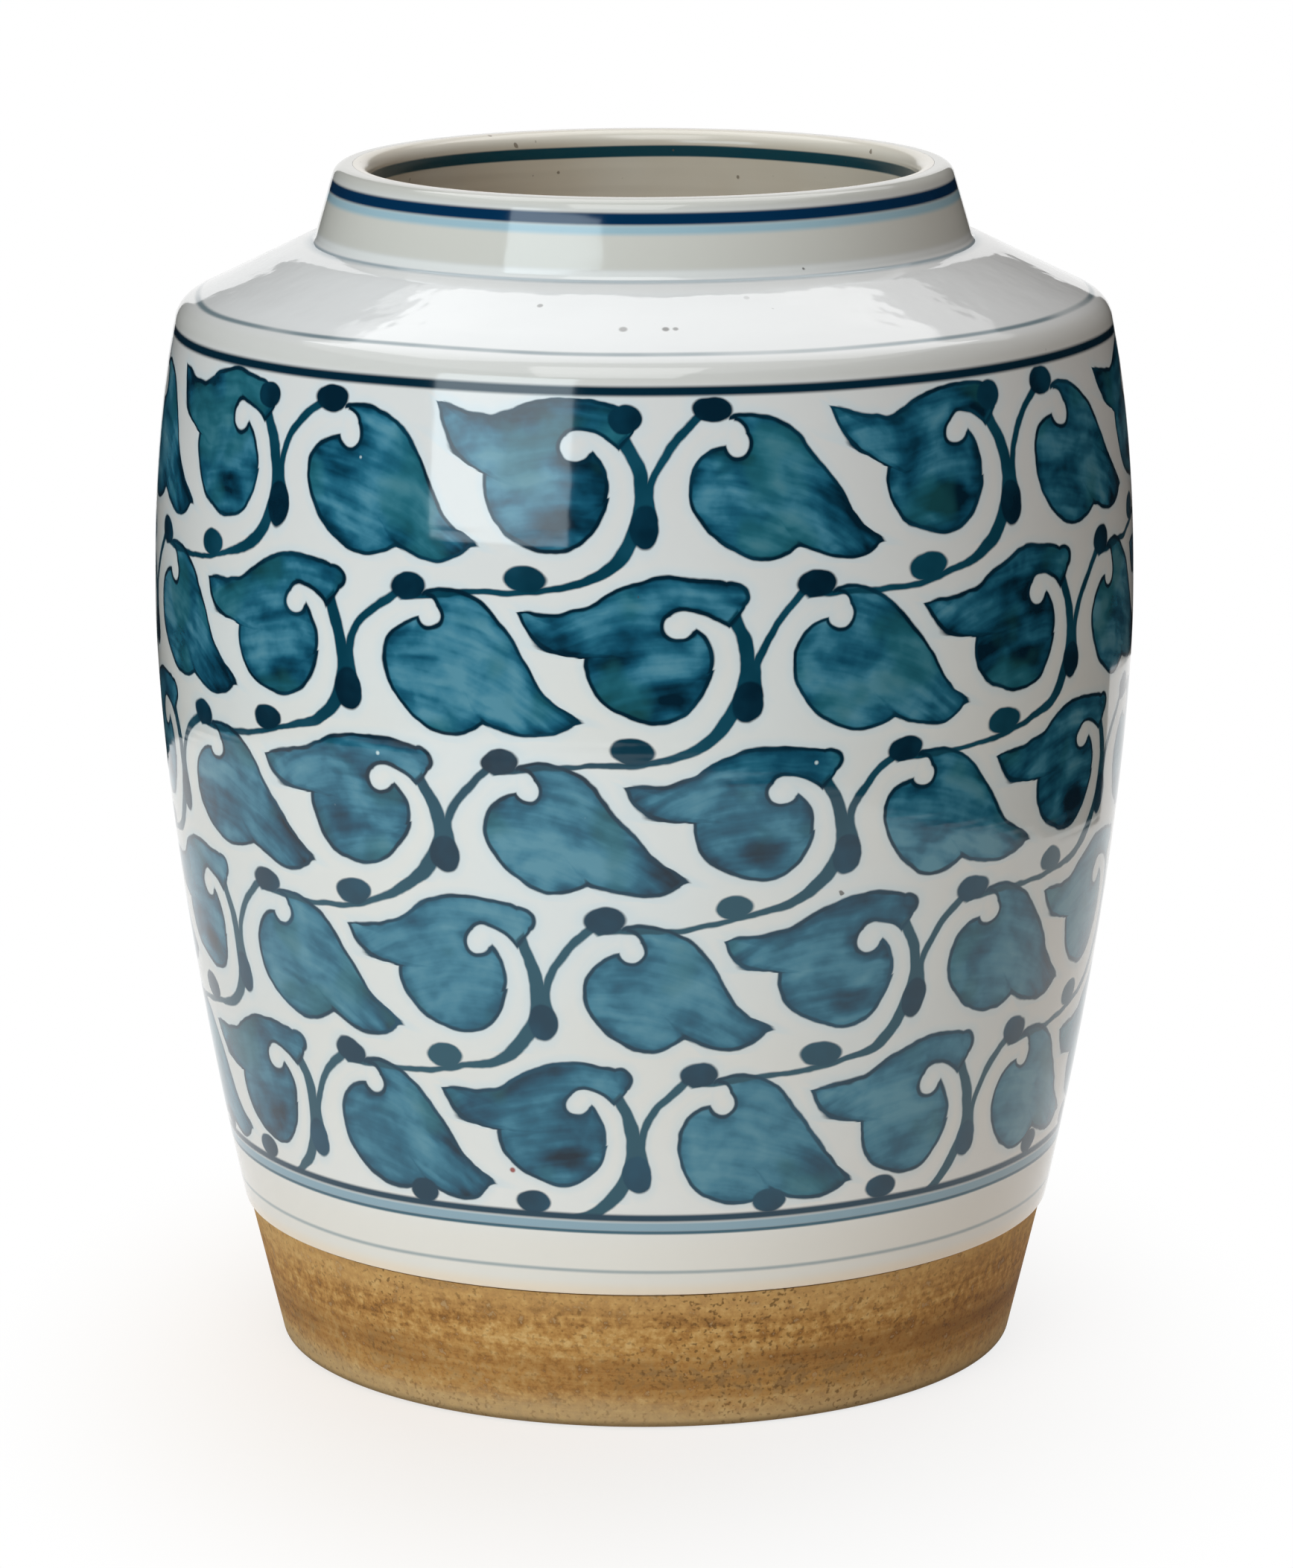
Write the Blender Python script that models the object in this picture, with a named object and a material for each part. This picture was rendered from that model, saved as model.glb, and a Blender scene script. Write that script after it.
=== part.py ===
"""A stoneware vase, thrown in sections that are luted together and then glazed.

The clay is a base disc, a bare foot wall, two barrel sections, a shoulder and a neck collar.
Each section keys into the next with a ridge and a groove. A white outer glaze and a liner glaze
lie on the clay. Every piece is turned round the Z axis; the foot stands on Z = 0. Units are metres.
"""

import math

import bmesh
import bpy
from mathutils import Vector

MM = 0.001

# Outside of the finished vase, course by course from the table up
FOOT_RADIUS = 63.2 * MM
FOOT_FLARE = 5.8 * MM
FOOT_HEIGHT = 24.8 * MM
GLAZE_STEP = 0.7 * MM
LOWER_COURSE = 103.2 * MM
BELLY_RADIUS = 83.4 * MM
UPPER_COURSE = 51.8 * MM
SHOULDER_RADIUS = 78.8 * MM
SHOULDER_RISE = 10.6 * MM
SHOULDER_SKIRT = 8.8 * MM
COLLAR_BASE_RADIUS = 55.6 * MM
COLLAR_HEIGHT = 12.6 * MM
COLLAR_TAPER = 3.7 * MM
LOWER_SWELL = 1.6
UPPER_SWELL = 2.3

# Inside of the finished vase
BARREL_WALL = 7.0 * MM
FOOT_WALL = 6.3 * MM
SHOULDER_WALL = 7.0 * MM
COLLAR_WALL = 8.2 * MM
LIP_WIDTH = 5.8 * MM
FLOOR_HEIGHT = 11.2 * MM

# Foot ring under the floor
FOOT_RING_WIDTH = 8.0 * MM
FOOT_RECESS = 3.2 * MM
FOOT_CHAMFER = 0.8 * MM

# Rounded edges
LIP_ROUND = 2.3 * MM
SHOULDER_ROUND = 5.0 * MM
COLLAR_FILLET = 1.4 * MM
THROAT_ROUND = 2.0 * MM

# Joints and coats
SEAM_GAP = 0.3 * MM
SEAM_KEY = 1.6 * MM
GLAZE_THICKNESS = 0.5 * MM
COAT_GAP = 0.3 * MM

# Radii and levels that follow from these
FOOT_TOP_RADIUS = FOOT_RADIUS + FOOT_FLARE
GLAZE_EDGE_RADIUS = FOOT_TOP_RADIUS + GLAZE_STEP
LIP_RADIUS = COLLAR_BASE_RADIUS - COLLAR_TAPER
MOUTH_RADIUS = LIP_RADIUS - LIP_WIDTH
COLLAR_BORE_RADIUS = COLLAR_BASE_RADIUS - COLLAR_WALL
BELLY_HEIGHT = FOOT_HEIGHT + LOWER_COURSE
SHOULDER_HEIGHT = BELLY_HEIGHT + UPPER_COURSE
SHOULDER_SEAM_HEIGHT = SHOULDER_HEIGHT - SHOULDER_SKIRT
COLLAR_BASE_HEIGHT = SHOULDER_HEIGHT + SHOULDER_RISE
HEIGHT = COLLAR_BASE_HEIGHT + COLLAR_HEIGHT

# Facets
TURN_STEPS = 48
LOWER_STEPS = 4
UPPER_STEPS = 3
ARC_STEPS = 3
HIDDEN_ARC_STEPS = 1

# Colours: linear red, green, blue, then roughness
BARE_CLAY = ((0.42, 0.25, 0.11), 0.75)
INNER_CLAY = ((0.46, 0.36, 0.25), 0.8)
WHITE_GLAZE = ((0.72, 0.70, 0.65), 0.12)
LINER_GLAZE = ((0.56, 0.52, 0.45), 0.2)


def clear_scene():
    for leftover in list(bpy.data.objects):
        bpy.data.objects.remove(leftover, do_unlink=True)


def material(name, finish):
    colour, roughness = finish
    made = bpy.data.materials.new(name)
    made.use_nodes = True
    shader = made.node_tree.nodes["Principled BSDF"]
    shader.inputs["Base Color"].default_value = (*colour, 1.0)
    shader.inputs["Roughness"].default_value = roughness
    shader.inputs["Metallic"].default_value = 0.0
    return made


# Profile geometry: a point is a Vector of (radius, height)


def point(radius, height):
    return Vector((radius, height))


def steps_between(start, end, count):
    return [start + (end - start) * step / count for step in range(count + 1)]


def rounded(before, corner, after, radius, steps=ARC_STEPS):
    """The arc that rounds the corner between two straight stretches."""
    back = (before - corner).normalized()
    ahead = (after - corner).normalized()
    half_angle = back.angle(ahead) / 2
    bisector = (back + ahead).normalized()
    centre = corner + bisector * radius / math.sin(half_angle)
    reach = radius / math.tan(half_angle)
    start = corner + back * reach - centre
    end = corner + ahead * reach - centre
    turn = start.angle_signed(end)
    arc = []
    for share in steps_between(0.0, 1.0, steps):
        angle = -turn * share
        spoke = point(
            start.x * math.cos(angle) - start.y * math.sin(angle),
            start.x * math.sin(angle) + start.y * math.cos(angle),
        )
        arc.append(centre + spoke)
    return arc


def left_of(start, end):
    along = (end - start).normalized()
    return point(-along.y, along.x)


def sunk(line, depth):
    """The line moved into the clay, which lies on its left, with mitred corners."""
    moved = []
    for index, here in enumerate(line):
        sides = []
        if index > 0:
            sides.append(left_of(line[index - 1], here))
        if index < len(line) - 1:
            sides.append(left_of(here, line[index + 1]))
        normal = sum(sides, point(0, 0)).normalized()
        moved.append(here + normal * depth / normal.dot(sides[0]))
    return moved


def barrel_radius(height):
    """Outer radius of the glazed barrel: it swells to the belly and draws in above it."""
    if height < BELLY_HEIGHT:
        share = (BELLY_HEIGHT - height) / (BELLY_HEIGHT - FOOT_HEIGHT)
        drawn_in = (BELLY_RADIUS - GLAZE_EDGE_RADIUS) * share**LOWER_SWELL
    else:
        share = (height - BELLY_HEIGHT) / (SHOULDER_HEIGHT - BELLY_HEIGHT)
        drawn_in = (BELLY_RADIUS - SHOULDER_RADIUS) * share**UPPER_SWELL
    return BELLY_RADIUS - drawn_in


def foot_radius(height):
    return FOOT_RADIUS + (FOOT_TOP_RADIUS - FOOT_RADIUS) * height / FOOT_HEIGHT


def barrel_outside(heights):
    return [point(barrel_radius(height), height) for height in heights]


def barrel_inside(heights):
    return [point(barrel_radius(height) - BARREL_WALL, height) for height in reversed(heights)]


def shoulder_lines():
    """Outer line, going up, and inner line, going down, of the sloping shoulder."""
    seam = SHOULDER_SEAM_HEIGHT + SEAM_GAP / 2
    corner = point(SHOULDER_RADIUS, SHOULDER_HEIGHT)
    slope_top = point(COLLAR_BASE_RADIUS + COLLAR_FILLET, COLLAR_BASE_HEIGHT - SEAM_GAP / 2)
    skirt = point(barrel_radius(seam), seam)
    outer = [skirt, *rounded(skirt, corner, slope_top, SHOULDER_ROUND), slope_top]

    inward = left_of(corner, slope_top) * SHOULDER_WALL
    fall = (slope_top.y - corner.y) / (slope_top.x - corner.x)

    def underside(radius):
        return point(radius, corner.y + inward.y + fall * (radius - corner.x - inward.x))

    inner_skirt = point(skirt.x - BARREL_WALL, seam)
    inner_corner = underside(SHOULDER_RADIUS - BARREL_WALL)
    throat = point(COLLAR_BORE_RADIUS, COLLAR_BASE_HEIGHT - SEAM_GAP / 2)
    throat_corner = underside(COLLAR_BORE_RADIUS)
    inner = [
        throat,
        *rounded(throat, throat_corner, inner_corner, THROAT_ROUND, HIDDEN_ARC_STEPS),
        *rounded(throat_corner, inner_corner, inner_skirt, SHOULDER_ROUND, HIDDEN_ARC_STEPS),
        inner_skirt,
    ]
    return outer, inner


def collar_lines():
    """Outer line, from the fillet up to the crest of the lip, and inner line, from there down."""
    base = COLLAR_BASE_HEIGHT + SEAM_GAP / 2
    lip_outside = point(LIP_RADIUS, HEIGHT)
    lip_inside = point(MOUTH_RADIUS, HEIGHT)
    fillet_foot = point(COLLAR_BASE_RADIUS + COLLAR_FILLET, base)
    fillet_corner = point(COLLAR_BASE_RADIUS, base)
    bore_foot = point(COLLAR_BORE_RADIUS, base)
    outer_round = rounded(fillet_corner, lip_outside, lip_inside, LIP_ROUND)
    inner_round = rounded(lip_outside, lip_inside, bore_foot, LIP_ROUND)
    crest = (outer_round[-1].x + inner_round[0].x) / 2
    outer = [
        fillet_foot,
        *rounded(fillet_foot, fillet_corner, lip_outside, COLLAR_FILLET / 2, HIDDEN_ARC_STEPS),
        *outer_round,
        point(crest + SEAM_GAP / 2, HEIGHT),
    ]
    inner = [point(crest - SEAM_GAP / 2, HEIGHT), *inner_round, bore_foot]
    return outer, inner


def finished_skin():
    """The glazed surface in stretches, from the edge above the foot, over the lip, to the floor."""
    half_gap = SEAM_GAP / 2
    lower = steps_between(FOOT_HEIGHT + half_gap, BELLY_HEIGHT - half_gap, LOWER_STEPS)
    upper = steps_between(BELLY_HEIGHT + half_gap, SHOULDER_SEAM_HEIGHT - half_gap, UPPER_STEPS)
    shoulder_outer, shoulder_inner = shoulder_lines()
    collar_outer, collar_inner = collar_lines()
    foot_top = FOOT_HEIGHT - half_gap
    return {
        "lower_outer": barrel_outside(lower),
        "upper_outer": barrel_outside(upper),
        "shoulder_outer": shoulder_outer,
        "collar_outer": collar_outer,
        "collar_inner": collar_inner,
        "shoulder_inner": shoulder_inner,
        "upper_inner": barrel_inside(upper),
        "lower_inner": barrel_inside(lower),
        "foot_inner": [
            point(foot_radius(foot_top) - FOOT_WALL, foot_top),
            point(foot_radius(FLOOR_HEIGHT) - FOOT_WALL, FLOOR_HEIGHT),
        ],
        "floor": [point(0.0, FLOOR_HEIGHT)],
    }


OUTER_STRETCHES = ("lower_outer", "upper_outer", "shoulder_outer", "collar_outer")


def sunk_skin(skin, depth):
    """The same stretches, moved into the clay as one line."""
    moved = iter(sunk([spot for stretch in skin.values() for spot in stretch], depth))
    return {name: [next(moved) for _ in stretch] for name, stretch in skin.items()}


def joined(skin, names):
    """Stretches as one line, which crosses each seam's gap with a single point."""
    line = [spot for name in names for spot in skin[name]]
    ahead = line[1:]
    crossing = [(after - here).length < 1.5 * SEAM_GAP for here, after in zip(line, ahead)]
    return [here for here, skipped in zip(line, crossing) if not skipped] + line[-1:]


def key(outer_end, inner_end):
    """Apex of the ridge, or of the groove, that keys two sections together at a seam."""
    return (outer_end + inner_end) / 2 + point(0.0, SEAM_KEY)


# Pieces: each is a closed outline of (radius, height), turned round the axis


def turned(name, outline, seat, finish, carrier):
    """A solid turned from its outline, with its origin on the axis at its seat."""
    shape = bmesh.new()
    spots = [shape.verts.new((spot.x, 0.0, spot.y - seat)) for spot in outline]
    on_axis = outline[0].x == 0.0 and outline[-1].x == 0.0
    edges = [shape.edges.new(pair) for pair in zip(spots, spots[1:])]
    if not on_axis:
        edges.append(shape.edges.new((spots[-1], spots[0])))
    bmesh.ops.spin(
        shape,
        geom=spots + edges,
        cent=(0.0, 0.0, 0.0),
        axis=(0.0, 0.0, 1.0),
        angle=math.tau,
        steps=TURN_STEPS,
        use_merge=True,
    )
    bmesh.ops.remove_doubles(shape, verts=shape.verts, dist=0.001 * MM)
    if shape.calc_volume(signed=True) < 0.0:
        bmesh.ops.reverse_faces(shape, faces=shape.faces)
    mesh = bpy.data.meshes.new(name)
    shape.to_mesh(mesh)
    shape.free()
    mesh.shade_smooth()
    mesh.set_sharp_from_angle(angle=math.radians(30))
    mesh.materials.append(finish)
    piece = bpy.data.objects.new(name, mesh)
    bpy.context.scene.collection.objects.link(piece)
    piece.parent = carrier
    piece.location.z = seat
    return piece


def wall_outline(outer, inner):
    """A wall section with a ridge on its top edge and a groove in its lower edge."""
    return [
        *outer,
        key(outer[-1], inner[0]),
        *inner,
        key(outer[0], inner[-1]),
    ]


def foot_outline(clay):
    """The bare foot wall: a ring to stand on, a ledge for the base disc, and a keyed top."""
    top = FOOT_HEIGHT - SEAM_GAP / 2
    outer_top = point(foot_radius(top), top)
    inner_top, floor_corner = clay["foot_inner"]
    ring_inside = FOOT_RADIUS - FOOT_RING_WIDTH
    ledge = FOOT_RECESS
    return [
        point(FOOT_RADIUS - FOOT_CHAMFER, 0.0),
        point(foot_radius(FOOT_CHAMFER), FOOT_CHAMFER),
        outer_top,
        key(outer_top, inner_top),
        inner_top,
        floor_corner,
        point(floor_corner.x, ledge),
        point(ring_inside, ledge),
        point(ring_inside, FOOT_CHAMFER),
        point(ring_inside + FOOT_CHAMFER, 0.0),
    ]


def disc_outline(clay):
    """The base disc, which lies on the foot wall's ledge."""
    floor_corner = clay["foot_inner"][-1]
    rim = floor_corner.x - SEAM_GAP
    underside = FOOT_RECESS + SEAM_GAP
    return [
        point(0.0, underside),
        point(rim, underside),
        point(rim, floor_corner.y),
        point(0.0, floor_corner.y),
    ]


def collar_outline(clay):
    """The neck collar: a rounded lip above and a groove in its lower edge."""
    outer, inner = clay["collar_outer"], clay["collar_inner"]
    return [*outer, *inner, key(outer[0], inner[-1])]


def coat_outline(skin, back, names):
    """A glaze coat: its face, and its back towards the clay."""
    return joined(skin, names) + joined(back, names)[::-1]


def build_vase():
    clear_scene()
    skin = finished_skin()
    coat_back = sunk_skin(skin, GLAZE_THICKNESS)
    clay = sunk_skin(skin, GLAZE_THICKNESS + COAT_GAP)
    inner_stretches = [name for name in skin if name not in OUTER_STRETCHES]

    carrier = bpy.data.objects.new("vase", None)
    bpy.context.scene.collection.objects.link(carrier)
    bare = material("bare_stoneware", BARE_CLAY)
    covered = material("covered_stoneware", INNER_CLAY)
    white = material("white_glaze", WHITE_GLAZE)
    liner = material("liner_glaze", LINER_GLAZE)

    turned("base_disc", disc_outline(clay), FOOT_RECESS + SEAM_GAP, bare, carrier)
    turned("foot_wall", foot_outline(clay), 0.0, bare, carrier)
    for name, stretch, seat in (
        ("lower_body", "lower", FOOT_HEIGHT),
        ("upper_body", "upper", BELLY_HEIGHT),
        ("shoulder", "shoulder", SHOULDER_SEAM_HEIGHT),
    ):
        outline = wall_outline(clay[stretch + "_outer"], clay[stretch + "_inner"])
        turned(name, outline, seat, covered, carrier)
    turned("neck_collar", collar_outline(clay), COLLAR_BASE_HEIGHT, covered, carrier)
    turned("outer_glaze", coat_outline(skin, coat_back, OUTER_STRETCHES), FOOT_HEIGHT, white, carrier)
    turned("inner_glaze", coat_outline(skin, coat_back, inner_stretches), FLOOR_HEIGHT, liner, carrier)


build_vase()
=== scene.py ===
"""Looks of the stoneware vase: the glaze with its painted vine, the liner and the bare foot."""

import math

import bpy
from mathutils import Matrix, Vector


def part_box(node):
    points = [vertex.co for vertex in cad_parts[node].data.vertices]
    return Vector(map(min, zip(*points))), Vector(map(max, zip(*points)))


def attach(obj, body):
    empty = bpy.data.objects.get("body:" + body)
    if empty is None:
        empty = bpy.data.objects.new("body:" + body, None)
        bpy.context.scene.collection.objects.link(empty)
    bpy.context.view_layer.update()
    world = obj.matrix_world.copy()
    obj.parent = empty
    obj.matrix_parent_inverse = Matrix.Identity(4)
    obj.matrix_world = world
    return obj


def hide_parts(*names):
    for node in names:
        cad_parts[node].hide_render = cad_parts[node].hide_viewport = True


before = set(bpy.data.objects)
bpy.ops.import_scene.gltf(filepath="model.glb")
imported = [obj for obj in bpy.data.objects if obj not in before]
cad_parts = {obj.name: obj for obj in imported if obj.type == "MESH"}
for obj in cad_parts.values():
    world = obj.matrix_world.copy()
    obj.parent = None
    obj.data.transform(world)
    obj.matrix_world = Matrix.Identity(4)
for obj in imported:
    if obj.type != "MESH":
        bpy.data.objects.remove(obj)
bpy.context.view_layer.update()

MM = 0.001
TO_MM = 1000.0

# The vase's own measures, as in the solids
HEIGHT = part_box("outer_glaze")[1].z
BELLY_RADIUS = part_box("outer_glaze")[1].x
FOOT_HEIGHT = 24.8 * MM
FOOT_RADIUS = 63.2 * MM
FOOT_TOP_RADIUS = 69.0 * MM
GLAZE_EDGE_RADIUS = 69.7 * MM
BELLY_HEIGHT = 128.0 * MM
LOWER_SWELL = 1.6
UPPER_SWELL = 2.3
SHOULDER_RADIUS = 78.8 * MM
SHOULDER_HEIGHT = 179.8 * MM
SKIRT_HEIGHT = SHOULDER_HEIGHT - 9 * MM
SLOPE_INSET = 1.4 * MM
COLLAR_BASE_RADIUS = 55.6 * MM
COLLAR_BASE_HEIGHT = 190.4 * MM
COLLAR_BORE_RADIUS = 47.4 * MM
LIP_RADIUS = 51.9 * MM
MOUTH_RADIUS = 46.1 * MM
CREST_RADIUS = (LIP_RADIUS + MOUTH_RADIUS) / 2
CREST_PARTING = 0.02 * MM
BARREL_WALL = 7.0 * MM
SHOULDER_WALL = 7.0 * MM
FOOT_WALL = 6.3 * MM
FLOOR_HEIGHT = 11.2 * MM
FOOT_RING_WIDTH = 8.0 * MM
FOOT_RECESS = 3.2 * MM
COAT = 0.5 * MM
GAP = 0.3 * MM

# Roundings of the edges
GLAZE_EDGE_ROUND = 0.3 * MM
SHOULDER_ROUND = 5.0 * MM
COLLAR_FILLET = 1.6 * MM
LIP_ROUND = 2.3 * MM
THROAT_ROUND = 2.0 * MM
FLOOR_COVE = 4.0 * MM
FOOT_ROUND = 1.3 * MM
RING_ROUND = 1.0 * MM
SLAB_ROUND = 0.8 * MM

# How finely the pieces are spun
SIDES = 256
ARC = 8
WELD = 0.000002
SMOOTH_BELOW = math.radians(35)

# Thrown shapes: a profile of (radius, height), drawn point by point and spun round the axis


def spot(radius, height):
    return Vector((radius, height))


def rounded(before, corner, after, radius, steps=ARC):
    back = (before - corner).normalized()
    ahead = (after - corner).normalized()
    half_angle = back.angle(ahead) / 2
    centre = corner + (back + ahead).normalized() * radius / math.sin(half_angle)
    reach = radius / math.tan(half_angle)
    start = corner + back * reach - centre
    end = corner + ahead * reach - centre
    turn = -start.angle_signed(end)
    arc = []
    for step in range(steps + 1):
        spoke = start.copy()
        spoke.rotate(Matrix.Rotation(turn * step / steps, 2))
        arc.append(centre + spoke)
    return arc


def left_of(start, end):
    along = (end - start).normalized()
    return spot(-along.y, along.x)


def sunk(line, depth):
    moved = []
    for index, here in enumerate(line):
        sides = []
        if index > 0:
            sides.append(left_of(line[index - 1], here))
        if index < len(line) - 1:
            sides.append(left_of(here, line[index + 1]))
        normal = sum(sides, spot(0, 0)).normalized()
        moved.append(here + normal * depth / normal.dot(sides[0]))
    return moved


def levels(start, end, count):
    return [start + (end - start) * step / count for step in range(count + 1)]


def stepped(start, end, first, last, count):
    """Points on a straight line, from one share of its length to another."""
    return [start.lerp(end, share) for share in levels(first, last, count)]


def barrel_radius(height):
    if height < BELLY_HEIGHT:
        share = (BELLY_HEIGHT - height) / (BELLY_HEIGHT - FOOT_HEIGHT)
        return BELLY_RADIUS - (BELLY_RADIUS - GLAZE_EDGE_RADIUS) * share**LOWER_SWELL
    share = (height - BELLY_HEIGHT) / (SHOULDER_HEIGHT - BELLY_HEIGHT)
    return BELLY_RADIUS - (BELLY_RADIUS - SHOULDER_RADIUS) * share**UPPER_SWELL


def foot_radius(height):
    return FOOT_RADIUS + (FOOT_TOP_RADIUS - FOOT_RADIUS) * height / FOOT_HEIGHT


def spin_up(name, profile):
    """Draws the profile by extruding one point, spins it once round, and closes poles and seam."""
    bpy.ops.object.select_all(action="DESELECT")
    bpy.ops.mesh.primitive_plane_add(size=MM, location=(0, 0, 0))
    piece = bpy.context.object
    piece.name = name
    piece.data.name = name
    bpy.ops.object.mode_set(mode="EDIT")
    bpy.ops.mesh.select_all(action="SELECT")
    bpy.ops.mesh.merge(type="CENTER")
    first = profile[0]
    bpy.ops.transform.translate(value=(first.x, 0, first.y))
    for here, after in zip(profile, profile[1:]):
        step = after - here
        bpy.ops.mesh.extrude_region_move(TRANSFORM_OT_translate={"value": (step.x, 0, step.y)})
    bpy.ops.mesh.select_all(action="SELECT")
    bpy.ops.mesh.spin(steps=SIDES, angle=math.tau, center=(0, 0, 0), axis=(0, 0, 1))
    bpy.ops.mesh.select_all(action="SELECT")
    bpy.ops.mesh.remove_doubles(threshold=WELD)
    bpy.ops.mesh.normals_make_consistent(inside=False)
    bpy.ops.object.mode_set(mode="OBJECT")
    bpy.ops.object.shade_smooth_by_angle(angle=SMOOTH_BELOW)
    return piece


def shoulder_slope():
    corner = spot(SHOULDER_RADIUS, SHOULDER_HEIGHT)
    top = spot(COLLAR_BASE_RADIUS + SLOPE_INSET, COLLAR_BASE_HEIGHT)
    return corner, top


def outside_line():
    """Face of the outer glaze, from its edge above the foot to the crest of the lip."""
    edge = FOOT_HEIGHT + GAP / 2
    edge_inside = spot(GLAZE_EDGE_RADIUS - COAT, edge)
    edge_outside = spot(GLAZE_EDGE_RADIUS, edge)
    barrel = [spot(barrel_radius(z), z) for z in levels(edge, SKIRT_HEIGHT, 60)]
    corner, slope_top = shoulder_slope()
    collar_foot = spot(COLLAR_BASE_RADIUS, COLLAR_BASE_HEIGHT)
    lip = spot(LIP_RADIUS, HEIGHT)
    lip_inside = spot(MOUTH_RADIUS, HEIGHT)
    return [
        *rounded(edge_inside, edge_outside, barrel[2], GLAZE_EDGE_ROUND, 5),
        *barrel[1:],
        *rounded(barrel[-1], corner, slope_top, SHOULDER_ROUND, 14),
        *stepped(corner, slope_top, 0.15, 0.95, 8),
        *rounded(corner, collar_foot, lip, COLLAR_FILLET),
        *stepped(collar_foot, lip, 0.25, 0.7, 4),
        *rounded(collar_foot, lip, lip_inside, LIP_ROUND, 12),
        spot(CREST_RADIUS + CREST_PARTING, HEIGHT),
    ]


def inside_line():
    """Face of the liner glaze, from the crest of the lip to the middle of the floor."""
    lip = spot(LIP_RADIUS, HEIGHT)
    lip_inside = spot(MOUTH_RADIUS, HEIGHT)
    bore_foot = spot(COLLAR_BORE_RADIUS, COLLAR_BASE_HEIGHT)
    corner, slope_top = shoulder_slope()
    inward = left_of(corner, slope_top) * SHOULDER_WALL
    fall = (slope_top.y - corner.y) / (slope_top.x - corner.x)

    def underside(radius):
        return spot(radius, corner.y + inward.y + fall * (radius - corner.x - inward.x))

    throat = underside(COLLAR_BORE_RADIUS)
    deep_corner = underside(SHOULDER_RADIUS - BARREL_WALL)
    barrel_levels = levels(SKIRT_HEIGHT, FOOT_HEIGHT, 36)
    barrel = [spot(barrel_radius(z) - BARREL_WALL, z) for z in barrel_levels]
    floor_corner = spot(foot_radius(FLOOR_HEIGHT) - FOOT_WALL, FLOOR_HEIGHT)
    middle = spot(0, FLOOR_HEIGHT)
    return [
        spot(CREST_RADIUS - CREST_PARTING, HEIGHT),
        *rounded(lip, lip_inside, bore_foot, LIP_ROUND, 10),
        *stepped(lip_inside, bore_foot, 0.3, 1.0, 4),
        *rounded(bore_foot, throat, deep_corner, THROAT_ROUND),
        *rounded(throat, deep_corner, barrel[0], SHOULDER_ROUND),
        *barrel,
        *rounded(barrel[-1], floor_corner, middle, FLOOR_COVE),
        *stepped(floor_corner, middle, 0.2, 1.0, 8),
    ]


def throw_outer_glaze():
    face = outside_line()
    return spin_up("glazed_outside", [*face, *sunk(face, COAT)[::-1], face[0]])


def throw_liner_glaze():
    face = inside_line()
    back = sunk(face, COAT)
    back[-1].x = 0.0
    return spin_up("glazed_inside", [*face[::-1], *back])


def turn_foot():
    """The bare lower wall with its foot ring, ledge and rounded edges."""
    top = FOOT_HEIGHT - GAP / 2
    ring_inside = FOOT_RADIUS - FOOT_RING_WIDTH
    floor_edge = foot_radius(FLOOR_HEIGHT) - FOOT_WALL + COAT + GAP
    under_outside = spot(FOOT_RADIUS, 0)
    under_inside = spot(ring_inside, 0)
    outer_top = spot(FOOT_TOP_RADIUS, top)
    inner_top = spot(FOOT_TOP_RADIUS - FOOT_WALL + COAT + GAP, top)
    ledge_inside = spot(ring_inside, FOOT_RECESS)
    profile = [
        *rounded(under_inside, under_outside, outer_top, FOOT_ROUND),
        *stepped(under_outside, outer_top, 0.15, 0.9, 10),
        outer_top,
        inner_top,
        spot(floor_edge, FLOOR_HEIGHT - COAT - GAP),
        spot(floor_edge, FOOT_RECESS),
        ledge_inside,
        *rounded(ledge_inside, under_inside, under_outside, RING_ROUND),
    ]
    return spin_up("turned_foot", [*profile, profile[0]])


def lay_floor():
    """The floor slab, seen from below inside the foot ring, with a cove where it meets the ring."""
    rim = foot_radius(FLOOR_HEIGHT) - FOOT_WALL + COAT
    top = FLOOR_HEIGHT - COAT - GAP
    under = FOOT_RECESS + GAP
    middle = spot(0, under)
    top_middle = spot(0, top)
    rim_under = spot(rim, under)
    rim_top = spot(rim, top)
    profile = [
        *stepped(middle, rim_under, 0, 0.95, 12),
        *rounded(middle, rim_under, rim_top, SLAB_ROUND, 4),
        *rounded(rim_under, rim_top, top_middle, SLAB_ROUND, 4),
        top_middle,
    ]
    return spin_up("floor_slab", profile)


# Materials


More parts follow.
